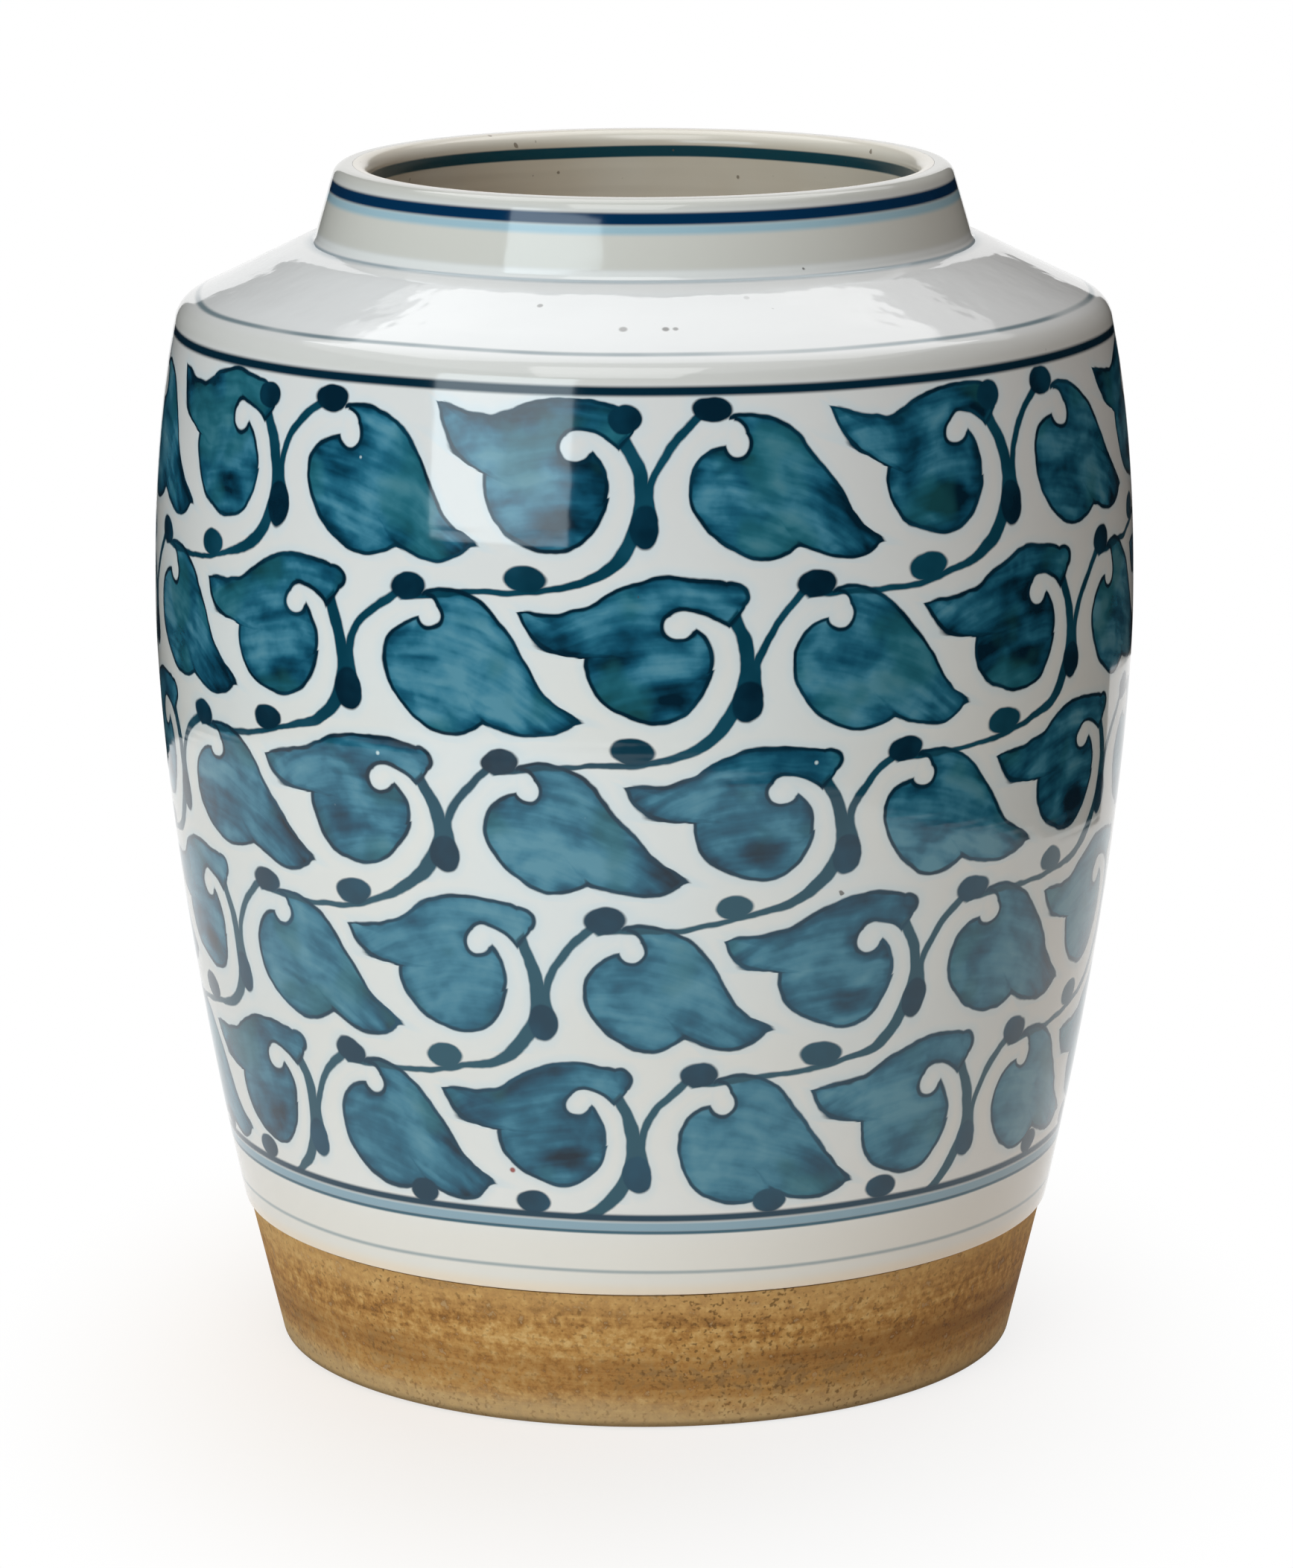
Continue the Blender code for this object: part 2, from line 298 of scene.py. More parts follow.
class Tone:
    """A number in a material: arithmetic adds Math nodes, and node() adds any other node."""

    def __init__(self, tree, socket):
        self.tree = tree
        self.socket = socket

    def node(self, kind, settings=None, sockets=None, out=0):
        made = self.tree.nodes.new(kind)
        for name, value in (settings or {}).items():
            if name == "points":
                curve = made.mapping.curves[0]
                curve.points[0].location, curve.points[1].location = value[0], value[-1]
                for place in value[1:-1]:
                    curve.points.new(*place)
                for place in curve.points:
                    place.handle_type = "AUTO_CLAMPED"
                made.mapping.update()
            elif name == "stops":
                ramp = made.color_ramp
                while len(ramp.elements) < len(value):
                    ramp.elements.new(0.5)
                for element, (place, colour) in zip(ramp.elements, value):
                    element.position = place
                    element.color = (*colour, 1.0)
            else:
                setattr(made, name, value)
        for name, value in (sockets or {}).items():
            if isinstance(value, Tone):
                self.tree.links.new(value.socket, made.inputs[name])
            else:
                made.inputs[name].default_value = value
        return Tone(self.tree, made.outputs[out])

    def math(self, operation, *others):
        sockets = dict(enumerate((self, *others)))
        return self.node("ShaderNodeMath", {"operation": operation}, sockets)

    def __add__(self, other):
        return self.math("ADD", other)

    __radd__ = __add__

    def __sub__(self, other):
        return self.math("SUBTRACT", other)

    def __rsub__(self, other):
        return self.node("ShaderNodeMath", {"operation": "SUBTRACT"}, {0: other, 1: self})

    def __mul__(self, other):
        return self.math("MULTIPLY", other)

    __rmul__ = __mul__

    def __truediv__(self, other):
        return self.math("DIVIDE", other)

    def __abs__(self):
        return self.math("ABSOLUTE")

    def least(self, *others):
        found = self
        for other in others:
            found = found.math("MINIMUM", other)
        return found

    def most(self, *others):
        found = self
        for other in others:
            found = found.math("MAXIMUM", other)
        return found

    def rises(self, low, high):
        """0 below low, 1 above high, smooth between them."""
        return self.node(
            "ShaderNodeMapRange",
            {"interpolation_type": "SMOOTHSTEP"},
            {"Value": self, "From Min": low, "From Max": high, "To Min": 0.0, "To Max": 1.0},
        )

    def falls(self, low, high):
        return 1.0 - self.rises(low, high)

    def mix(self, first, second):
        """Between two colours, by this number."""
        return self.node(
            "ShaderNodeMix",
            {"data_type": "RGBA"},
            {0: self, 6: tinted(first), 7: tinted(second)},
            out=2,
        )

    def ramp(self, stops):
        """Along a row of colours, by this number."""
        return self.node("ShaderNodeValToRGB", {"stops": stops}, {0: self})


def tinted(colour):
    return colour if isinstance(colour, Tone) else (*colour, 1.0)


def new_finish(name):
    """A new material, with its shader and its Object coordinates."""
    made = bpy.data.materials.new(name)
    made.use_nodes = True
    tree = made.node_tree
    shader = tree.nodes["Principled BSDF"]
    place = Tone(tree, tree.nodes.new("ShaderNodeTexCoord").outputs["Object"])
    return made, shader, place


def wear(shader, tone, socket):
    tone.tree.links.new(tone.socket, shader.inputs[socket])


def emboss(shader, relief, strength, distance):
    sockets = {"Strength": strength, "Distance": distance, "Height": relief}
    wear(shader, relief.node("ShaderNodeBump", None, sockets), "Normal")


def parts_of(place):
    apart = place.node("ShaderNodeSeparateXYZ", None, {0: place})
    node = apart.socket.node
    return [Tone(place.tree, node.outputs[index]) for index in range(3)]


def noise(place, scale, detail=2.0, roughness=0.5, distortion=0.0, out=0):
    sockets = {"Vector": place, "Scale": scale, "Detail": detail}
    sockets |= {"Roughness": roughness, "Distortion": distortion}
    return place.node("ShaderNodeTexNoise", {"noise_dimensions": "3D"}, sockets, out=out)


def stretched(place, scale):
    return place.node("ShaderNodeMapping", None, {"Vector": place, "Scale": scale})


def joined(first, second, third):
    return first.node("ShaderNodeCombineXYZ", None, {0: first, 1: second, 2: third})


def hypot(across, up):
    return (across * across + up * up).math("SQRT")


# Shapes of the brush: each gives the distance from its edge in millimetres, below zero inside


def oval(x, y, centre, half_width, half_height):
    out = hypot((x - centre[0]) / half_width, (y - centre[1]) / half_height)
    return (out - 1.0) * min(half_width, half_height)


def crescent(x, y, outer, inner):
    """Within one circle and out of another, both given by their middle and radius."""
    within = hypot(x - outer[0], y - outer[1]) - outer[2]
    return within.most(inner[2] - hypot(x - inner[0], y - inner[1]))


def outline_gap(x, y, middle, outline, span):
    """Distance from an outline, and the turn round its middle."""
    across, up = x - middle[0], y - middle[1]
    reach = hypot(across, up)
    turn = up.math("ARCTAN2", across) / math.tau + 0.5

    def edge(at):
        return at.node("ShaderNodeFloatCurve", {"points": outline}, {"Value": at}) * span

    here = edge(turn)
    lean = (edge(turn + TURN_STEP) - here) / (here * TURN_STEP * math.tau)
    return (reach - here) / (1.0 + lean * lean).math("SQRT"), turn


# Glaze and brush colours
WHITE = (0.740, 0.755, 0.745)
WARM_WHITE = (0.765, 0.745, 0.705)
# Painted bounce light: whites lighter and warmer towards the foot
LOW_WHITE_PAINTED_BOUNCE = (0.840, 0.820, 0.790)
FOOT_WHITE_PAINTED_BOUNCE = (0.840, 0.795, 0.730)
EDGE_CREAM = (0.920, 0.740, 0.540)
# Painted shade: a greyer white towards the top
HIGH_WHITE_PAINTED_SHADE = (0.710, 0.700, 0.685)
# Painted light and shade: the shoulder's tone, set to its lit look
SHOULDER_PAINTED_LIGHT = (0.765, 0.757, 0.745)
# Painted shade on the shoulder's rounding, damping the front lamp's mirror there
SHOULDER_ROUNDING_PAINTED_SHADE = (0.640, 0.622, 0.585)
# Painted shade on the collar, a darker cream
COLLAR_PAINTED_SHADE = (0.620, 0.596, 0.530)
# Painted highlight on the fillet at the collar's foot
COLLAR_FILLET_PAINTED_HIGHLIGHT = (0.790, 0.780, 0.750)
# Painted shade on the lip's outer face
LIP_PAINTED_SHADE = (0.570, 0.555, 0.505)
LIP_CREAM = (0.740, 0.690, 0.600)
LINER_CREAM = (0.740, 0.670, 0.560)
LINER_TAN = (0.660, 0.560, 0.430)
INK = (0.0012, 0.0150, 0.0300)
NIGHT = (0.0030, 0.0410, 0.0750)
PETROL = (0.0060, 0.0740, 0.1300)
TEAL = (0.0170, 0.1290, 0.2030)
WATERY = (0.0500, 0.2060, 0.2930)
THIN_WASH = (0.0950, 0.2680, 0.3480)
GREENISH = (0.0170, 0.1250, 0.1350)
STEM = (0.0022, 0.0430, 0.0720)
STEM_LIGHT = (0.0060, 0.0660, 0.1060)
STEM_WASH = (0.0160, 0.0840, 0.1220)
BLED_BLUE = (0.5000, 0.6800, 0.7700)
NAVY = (0.0012, 0.0270, 0.0780)
PALE_BLUE = (0.2700, 0.4700, 0.5700)
TOP_LINE_BLUE = (0.0014, 0.0190, 0.0370)
SHOULDER_BLUE = (0.0700, 0.1400, 0.1700)
LOW_BAND_BLUE = (0.2200, 0.3700, 0.4600)
LOW_EDGE_BLUE = (0.0400, 0.1200, 0.1700)
FOOT_LINE_BLUE = (0.1000, 0.2000, 0.2500)
COLLAR_FOOT_BLUE = (0.1600, 0.2500, 0.3000)
MOUTH_TEAL = (0.0060, 0.0550, 0.0750)
PIT_BROWN = (0.070, 0.060, 0.050)
PINHOLE_PALE = (0.550, 0.680, 0.700)
DOT_RED = (0.300, 0.030, 0.020)
LINER_FLECK = (0.140, 0.090, 0.050)
WASH_STOPS = [
    (0.0, THIN_WASH), (0.22, WATERY), (0.42, TEAL), (0.62, PETROL), (0.80, NIGHT), (1.0, INK),
]

# Clay colours
CLAY_STOPS = [
    (0.30, (0.23, 0.098, 0.024)), (0.46, (0.42, 0.200, 0.054)),
    (0.60, (0.55, 0.295, 0.088)), (0.78, (0.68, 0.430, 0.170)),
]
UPPER_TAN = (0.64, 0.385, 0.150)
SOOT = (0.19, 0.085, 0.028)
# Lighter tan at the foot's bottom: partly the clay's own tone, partly painted bounce light from the
# floor
LOWER_TAN_AND_PAINTED_BOUNCE = (0.57, 0.410, 0.210)
CLAY_SPECK = (0.14, 0.065, 0.020)
CLAY_GRIT = (0.68, 0.480, 0.250)
# Painted contact shade along the foot's bottom edge
FOOT_CONTACT_PAINTED_SHADE = (0.12, 0.080, 0.035)

# Levels on the glaze, in millimetres, and its gloss
GLAZE_IOR = 1.46
LOW_LINE = 39.0
TOP_LINE = 176.1
SHOULDER_LINE = 181.4
MOUTH_LINE = 199.4
# The other brush lines: level, half width, softness, share of the wobble, strength, colour
BRUSH_LINES = [
    (TOP_LINE, 0.78, 0.35, 1.0, 1.0, TOP_LINE_BLUE),
    (37.4, 0.80, 0.30, 1.0, 0.9, LOW_BAND_BLUE),
    (LOW_LINE, 0.62, 0.30, 1.0, 1.0, NIGHT),
    (36.4, 0.30, 0.18, 1.0, 1.0, LOW_EDGE_BLUE),
    (29.2, 0.28, 0.28, 1.0, 0.6, FOOT_LINE_BLUE),
    (190.25, 0.20, 0.15, 0.2, 0.6, COLLAR_FOOT_BLUE),
    (198.25, 0.72, 0.50, 0.4, 0.8, PALE_BLUE),
    (200.0, 0.95, 0.30, 0.5, 1.0, NAVY),
]
# Zones of painted light and shade on the shoulder and the collar: where each sets in and ends, its
# strength and colour
ZONES = [
    ((176.4, 178.0), (179.8, 181.6), 0.8, SHOULDER_ROUNDING_PAINTED_SHADE),
    ((179.5, 183.0), (189.5, 191.0), 0.85, SHOULDER_PAINTED_LIGHT),
    ((191.2, 192.6), (200.2, 201.6), 0.8, COLLAR_PAINTED_SHADE),
    ((190.3, 190.8), (191.4, 192.2), 0.9, COLLAR_FILLET_PAINTED_HIGHLIGHT),
]
# Marks with a place of their own: degrees from the front, radius, height and size
PINHOLES = [
    (-31.1, 83.2, 116.3, 0.40),
    (-37.5, 82.8, 106.5, 0.45),
    (-6.6, 82.8, 107.9, 0.35),
    (19.3, 83.2, 116.1, 0.40),
    (-33.7, 81.7, 163.9, 0.35),
]
RED_DOT = (-17.0, 73.9, 46.7, 0.5)
# The same, with each pit's strength
PITS = [
    (-2.7, 69.1, 184.5, 0.7, 0.6),
    (2.9, 69.1, 184.5, 0.6, 0.8),
    (4.2, 69.0, 184.4, 0.5, 0.7),
    (-15.1, 63.5, 187.2, 0.5, 0.6),
    (15.5, 61.6, 188.2, 0.5, 0.25),
]

# The repeat of the vine, in millimetres and column widths
COLUMNS = 8
COLUMN_WIDTH = 66.2
COLUMN_START = -0.006
FRONT_SPREAD = 0.027
ROW_HEIGHT = 27.1
ROW_SHIFT = 0.246
LAST_ROW = 4
JOINT_HEIGHTS = (19.4, 46.5, 73.5, 100.4, 126.6, 154.6, 182.1)
HANGING_FIELD = (20.0, 7.0)
LEANING_FIELD = (-16.0, 8.0)
LOWER_FIELD = (-19.0, -7.0)
PAIR_START = 0.4865
DRIFT = 4.4
TREMOR = 1.0

# Circles of the white scrolls, as (x, y, radius), the outer and the inner one
HANGING_SCROLL = (16.4, 3.0, 13.3), (13.5, 5.2, 7.05)
LEANING_SCROLL = (-11.2, 5.5, 9.6), (-13.0, 6.6, 6.95)
# Ovals, as a middle, half the width and half the height
HANGING_KNOB = [((14.2, 13.8), 2.1, 2.1), ((14.8, 12.6), 2.1, 2.1)]
LEANING_KNOB = [((-10.5, 13.1), 2.3, 2.0), ((-11.2, 12.3), 2.3, 2.1)]
TOP_BEAD = (10.7, 17.5), 3.05, 2.0
TAIL_BEAD = (-3.5, 16.9), 2.5, 2.1
JOINT_BEAD = (-0.4, 0.0), 2.3, 3.1
LOWER_BEAD = (-18.5, -7.6), 3.2, 2.0
PAIRED_BEAD = (11.1, 41.3), 2.9, 1.9
BLOT = (-13.5, 1.8), 3.6, 2.2

# How the brush is laid on
SOFT_EDGE = 0.20
OUTLINE_INSET = 0.24
OUTLINE_LEAST = 0.12
OUTLINE_PRESS = 0.40
BEAD_PRESS = 0.35
STEM_PRESS = 0.3
STROKE_HALF = 0.36
LEAF_SPREAD = 0.3
BLEED_REACH = 1.9

# Outlines as (turn from the left, anticlockwise, 0 to 1; reach from the middle as a share of span)
TURN_STEP = 0.008
LEAF_SPAN = 26.0
HANGING_MIDDLE = (17.0, 5.0)
HANGING_LEAF = [
    (0.0, 0.390), (0.031, 0.385), (0.093, 0.365), (0.169, 0.358), (0.231, 0.381),
    (0.283, 0.396), (0.333, 0.412), (0.366, 0.425), (0.376, 0.490), (0.394, 0.636),
    (0.411, 0.757), (0.430, 0.844), (0.4455, 0.894), (0.4464, 0.906), (0.4472, 0.889),
    (0.452, 0.815), (0.459, 0.715), (0.490, 0.572), (0.545, 0.478), (0.580, 0.454),
    (0.616, 0.448), (0.676, 0.450), (0.730, 0.452), (0.783, 0.454), (0.797, 0.432),
    (0.815, 0.355), (0.860, 0.360), (0.892, 0.378), (0.940, 0.392), (1.0, 0.390),
]
LEANING_MIDDLE = (-17.5, 7.0)
LEANING_LEAF = [
    (0.0, 0.312), (0.048, 0.322), (0.132, 0.335), (0.220, 0.345), (0.293, 0.391),
    (0.354, 0.425), (0.419, 0.436), (0.485, 0.440), (0.537, 0.447), (0.550, 0.452),
    (0.558, 0.478), (0.565, 0.535), (0.572, 0.610), (0.580, 0.672), (0.594, 0.695),
    (0.605, 0.690), (0.621, 0.662), (0.640, 0.613), (0.678, 0.546), (0.725, 0.488),
    (0.782, 0.440), (0.850, 0.419), (0.906, 0.499), (0.930, 0.621), (0.9428, 0.735),
    (0.944, 0.750), (0.9456, 0.741), (0.961, 0.678), (0.978, 0.583), (0.990, 0.458),
    (0.996, 0.335), (1.0, 0.312),
]
# The long stroke from the leaning leaf's tail past the joint to the next row
STROKE_SPAN = 32.0
STROKE_MIDDLE = (-13.0, 5.5)
LONG_STROKE = [
    (0.0, 1.0), (0.085, 1.0), (0.093, 0.944), (0.111, 0.806), (0.1306, 0.697),
    (0.150, 0.616), (0.175, 0.550), (0.208, 0.488), (0.247, 0.444), (0.300, 0.422),
    (0.353, 0.406), (0.397, 0.394), (0.4417, 0.384), (0.475, 0.378), (0.5167, 0.374),
    (0.5556, 0.374), (0.592, 0.376), (0.617, 0.388), (0.680, 0.430), (1.0, 0.430),
]


# The painted vine


def cell(column, row, centre):
    """Place within the repeat whose middle is nearest: x, y from its stem joint, column, row."""
    line = (row + centre[1] / ROW_HEIGHT + 0.5).math("FLOOR")
    y = (line - row) * ROW_HEIGHT
    shifted = column - line * ROW_SHIFT - centre[0] / COLUMN_WIDTH
    count = (shifted + 0.5).math("FLOOR")
    x = (shifted - count) * COLUMN_WIDTH + centre[0]
    return x, y, count.math("FLOORED_MODULO", float(COLUMNS)), line


def chance(column, row, seed):
    together = joined(column, row, seed)
    settings = {"noise_dimensions": "3D"}
    return together.node("ShaderNodeTexWhiteNoise", settings, {"Vector": together})


def stroke(edge, thickness):
    """A brush line: full inside its thickness, with a soft edge."""
    return (edge - thickness).falls(-SOFT_EDGE, SOFT_EDGE)


def dab(bead, press):
    return stroke(bead, press * BEAD_PRESS)


def row_at(height):
    """Rows of joints counted down from the first, by the levels they are painted at."""
    low, top = JOINT_HEIGHTS[0], JOINT_HEIGHTS[-1]
    last = len(JOINT_HEIGHTS) - 1
    shares = [(level - low) / (top - low) for level in JOINT_HEIGHTS]
    points = [(share, index / last) for index, share in enumerate(shares)]
    share = (height - low) / (top - low)
    counted = share.node("ShaderNodeFloatCurve", {"points": points}, {"Value": share})
    return (last - 1.0) - counted * float(last)


def painted_rows(line, last=LAST_ROW):
    return line.rises(-0.6, -0.4) * line.falls(last + 0.4, last + 0.6)


def brush_marks(x, y, middle, own, lean):
    """Pools and bowed strokes of the wash within one leaf, along its lean."""
    x, y = x - middle[0], y - middle[1]
    along = x * math.cos(lean) + y * math.sin(lean)
    across = y * math.cos(lean) - x * math.sin(lean) + along * along * 0.012
    spread = own * 90.0
    pools = noise(joined(along * 0.10, across * 0.15, spread), 1.0, 2.2, 0.52, 0.3)
    strokes = noise(joined(along * 0.05, across * 0.55, spread), 1.0, 2.0)
    grain = noise(joined(x * 0.7, y * 0.8, spread), 1.0, 2.0)
    return (pools - 0.5) * 2.0 + (strokes - 0.5) * 0.8 + (grain - 0.5) * 0.22


def leaf_depth(leaf, own, line, marks):
    """How dark the wash of a leaf is: its own load, the row's, and a pool along its edge."""
    upper = line.falls(0.9, 3.1)
    load = 0.245 + (own - 0.5) * 0.26 + upper * 0.15
    return load + marks * (0.70 + upper * 0.28) + leaf.rises(-2.6, -0.3) * 0.20


def painted_leaf(leaf, stem, bead, line, own, marks, press):
    """Masks of a leaf's ink, stem, wash and the blue bled beside them, and its wash's darkness."""
    allowed = painted_rows(line)
    outline = stroke(abs(leaf + OUTLINE_INSET), OUTLINE_LEAST + press * OUTLINE_PRESS)
    ink = outline.most(dab(bead, press)) * allowed
    stems = stroke(stem, press * STEM_PRESS) * allowed
    wash = leaf.falls(-0.1, 0.1) * allowed
    bleed = leaf.least(stem, bead).falls(0.0, BLEED_REACH) * allowed
    return ink, stems, wash, bleed, wash * leaf_depth(leaf, own, line, marks)


def hanging_leaf(column, row, press):
    """The hanging leaf, its white scroll, the stem left of it and the bead above it."""
    x, y, count, line = cell(column, row, HANGING_FIELD)
    scroll = crescent(x, y, *HANGING_SCROLL).most(x - 14.2, 6.0 - y)
    scroll = scroll.least(*[oval(x, y, *knob) for knob in HANGING_KNOB])
    leaf, _ = outline_gap(x, y, HANGING_MIDDLE, HANGING_LEAF, LEAF_SPAN)
    leaf = (leaf - LEAF_SPREAD).most(scroll * -1.0)
    # The stem is a parabola, thicker where it leaves the joint
    bend = y - 4.0
    stem = abs(x - 0.2 - bend * bend * 0.0545) / (1.0 + bend * bend * 0.0119).math("SQRT")
    stem = (stem - 0.55 - y.falls(2.0, 6.5) * 0.40).most(y - 17.5, 1.0 - y)
    bead = oval(x, y, *TOP_BEAD)
    own = chance(count, line, 1.0)
    marks = brush_marks(x, y, HANGING_MIDDLE, own, math.radians(-12.0))
    marks = marks + x.rises(28.0, 37.0) * 0.42 - 0.03
    return painted_leaf(leaf, stem, bead, line, own, marks, press)


def leaning_leaf(column, row, press):
    """The leaning leaf across the joint, its white scroll, its tail bead and the long stroke."""
    x, y, count, line = cell(column, row, LEANING_FIELD)
    # In the first row the leaf's tip is lifted towards the top line
    y = y - (-22.0 - x).most(0.0) * line.falls(0.4, 0.6) * 0.33
    scroll = crescent(x, y, *LEANING_SCROLL).most(-10.7 - x, 5.0 - y)
    scroll = scroll.least(*[oval(x, y, *knob) for knob in LEANING_KNOB])
    leaf, _ = outline_gap(x, y, LEANING_MIDDLE, LEANING_LEAF, LEAF_SPAN)
    tail = oval(x, y, *TAIL_BEAD)
    leaf = (leaf - LEAF_SPREAD).least(tail).most(scroll * -1.0)
    trail, bearing = outline_gap(x, y, STROKE_MIDDLE, LONG_STROKE, STROKE_SPAN)
    swell = bearing.rises(0.20, 0.40) * 0.70 - bearing.rises(0.53, 0.60) * 0.2
    trail = abs(trail) - STROKE_HALF - swell
    trail = trail.most((bearing - 0.618) * 60.0, (0.25 - bearing) * 60.0)
    # Only the first row's tail bead is inked, the others stay in the wash
    bead = (tail + line.rises(0.3, 0.6) * 9.0).least(oval(x, y, *JOINT_BEAD))
    own = chance(count, line, 2.0)
    blot = oval(x, y, *BLOT).falls(-1.5, 1.5) * own.rises(0.15, 0.35) * 0.60
    marks = brush_marks(x, y, LEANING_MIDDLE, own, math.radians(9.0)) + blot + 0.04
    return painted_leaf(leaf, trail, bead, line, own, marks, press)


def lower_stroke(column, row, press):
    """The rest of the long stroke, below the joint, with the bead that sits on it."""
    x, y, count, line = cell(column, row, LOWER_FIELD)
    trail, bearing = outline_gap(x, y, STROKE_MIDDLE, LONG_STROKE, STROKE_SPAN)
    swell = bearing.rises(0.20, 0.40) * 0.70
    trail = (abs(trail) - STROKE_HALF - swell).most((0.088 - bearing) * 100.0, y - 3.0)
    stems = stroke(trail, press * STEM_PRESS) * painted_rows(line)
    bead = dab(oval(x, y, *LOWER_BEAD), press) * painted_rows(line, LAST_ROW - 1)
    ink = bead * chance(count, line, 3.0).rises(0.25, 0.9)
    return ink, stems.most(bead)


def low_beads(column, height, press):
    """Beads in pairs along the lower line."""
    pairs = column + PAIR_START
    near = abs(pairs - (pairs + 0.5).math("FLOOR")) * COLUMN_WIDTH
    return dab(oval(near, height, *PAIRED_BEAD), press)


def vine(place, height, turn):
    """Masks of the vine's ink, stems, wash and bled blue, and the darkness of its wash."""
    drift = parts_of(noise(place, 42.0, 1.0, out=1))
    tremor = parts_of(noise(place, 210.0, 2.0, out=1))
    across = (drift[0] - 0.5) * DRIFT + (tremor[0] - 0.5) * TREMOR
    along = (drift[1] - 0.5) * DRIFT + (tremor[1] - 0.5) * TREMOR
    column = (turn - turn.math("SINE") * FRONT_SPREAD) * (COLUMNS / math.tau)
    column = column + COLUMN_START + across / COLUMN_WIDTH
    row = row_at(height - along)
    press = tremor[2] * 0.5 + drift[2] * 0.6

    ink, stems, wash, bleed, depth = hanging_leaf(column, row, press)
    more_ink, more_stems, more_wash, more_bleed, more_depth = leaning_leaf(column, row, press)
    lower_ink, lower_stems = lower_stroke(column, row, press)
    band = height.rises(LOW_LINE, LOW_LINE + 0.4) * height.falls(TOP_LINE - 0.6, TOP_LINE)
    ink = ink.most(more_ink, lower_ink, low_beads(column, height, press)) * band
    stems = stems.most(more_stems, lower_stems) * band
    wash = wash.most(more_wash) * band
    bleed = bleed.most(more_bleed) * band
    return ink, stems, wash, bleed, depth + more_depth


# Finishes


def wash_colour(place, depth):
    green = noise(place, 75.0, 2.0).rises(0.52, 0.66) * 0.45
    return green.mix(depth.ramp(WASH_STOPS), GREENISH)


def glaze_ground(place, height, bleed):
    """The white ground: cloudy, with painted bounce light making it lighter and warmer towards the
    foot, painted shade greying it towards the top, and the blue bled beside the strokes.
    """
    cloud = noise(place, 25.0, 2.0)
    # The cloud's warmth is random; the share by height is painted bounce light, warmer towards the
    # foot
    warmth = cloud.rises(0.35, 0.65) * 0.7 + height.falls(40.0, 100.0) * 0.3
    ground = warmth.mix(WHITE, WARM_WHITE)
    # Painted bounce light: lighter and warmer towards the foot
    ground = height.falls(25.0, 70.0).mix(ground, LOW_WHITE_PAINTED_BOUNCE)
    ground = height.falls(33.0, 39.0).mix(ground, FOOT_WHITE_PAINTED_BOUNCE)
    ground = (height.falls(25.2, 27.8) * 0.65).mix(ground, EDGE_CREAM)
    # Painted shade: greyer towards the top
    ground = height.rises(120.0, 165.0).mix(ground, HIGH_WHITE_PAINTED_SHADE)
    return (bleed * 0.30).mix(ground, BLED_BLUE)


def shoulder_and_collar(height, colour):
    # Painted shade on the shoulder's rounding, painted light and shade on the shoulder and collar,
    # and a painted highlight on the collar's fillet
    for start, end, strength, shade in ZONES:
        colour = (height.rises(*start) * height.falls(*end) * strength).mix(colour, shade)
    # Painted shade on the lip's outer face
    return (height.rises(200.6, 202.2) * 0.9).mix(colour, LIP_PAINTED_SHADE)


def brush_line(height, level, half, wobble, soft=0.18):
    return (abs(height + wobble - level) - half).falls(-soft, soft)


def brush_lines(place, height, colour):
    """The plain lines round the barrel, the shoulder and the collar."""
    wobble = (noise(place, 16.0, 1.0) - 0.5) * 1.2
    fade = noise(place, 30.0, 2.0).rises(0.3, 0.6)
    faint = brush_line(height, SHOULDER_LINE, 0.22, wobble, 0.16) * (0.35 + fade * 0.45)
    colour = faint.mix(colour, SHOULDER_BLUE)
    for level, half, soft, sway, strength, pigment in BRUSH_LINES:
        line = brush_line(height, level, half, wobble * sway, soft)
        colour = (line * strength).mix(colour, pigment)
    return colour


def speck(place, angle, radius, height, size):
    """A mark on the glaze, at an angle from the front, a radius and a height in millimetres."""
    turn = math.radians(angle)
    centre = (radius * math.sin(turn) * MM, -radius * math.cos(turn) * MM, height * MM)
    settings, sockets = {"operation": "DISTANCE"}, {0: place, 1: centre}
    away = place.node("ShaderNodeVectorMath", settings, sockets, out=1)
    return (away * TO_MM).falls(size * 0.6, size * 1.3)


def pits_and_pinholes(place, colour):
    """Strewn specks, and the marks that have a place of their own."""
    fleck = noise(place, 420.0, 1.0)
    rare = noise(place, 60.0, 1.0)
    strewn = fleck.rises(0.80, 0.84) * rare.rises(0.55, 0.6) * 0.8
    pits = [speck(place, *where) * strength for *where, strength in PITS]
    colour = strewn.most(*pits).mix(colour, PIT_BROWN)
    first, *others = [speck(place, *where) for where in PINHOLES]
    colour = first.most(*others).mix(colour, PINHOLE_PALE)
    return (speck(place, *RED_DOT) * 0.9).mix(colour, DOT_RED)


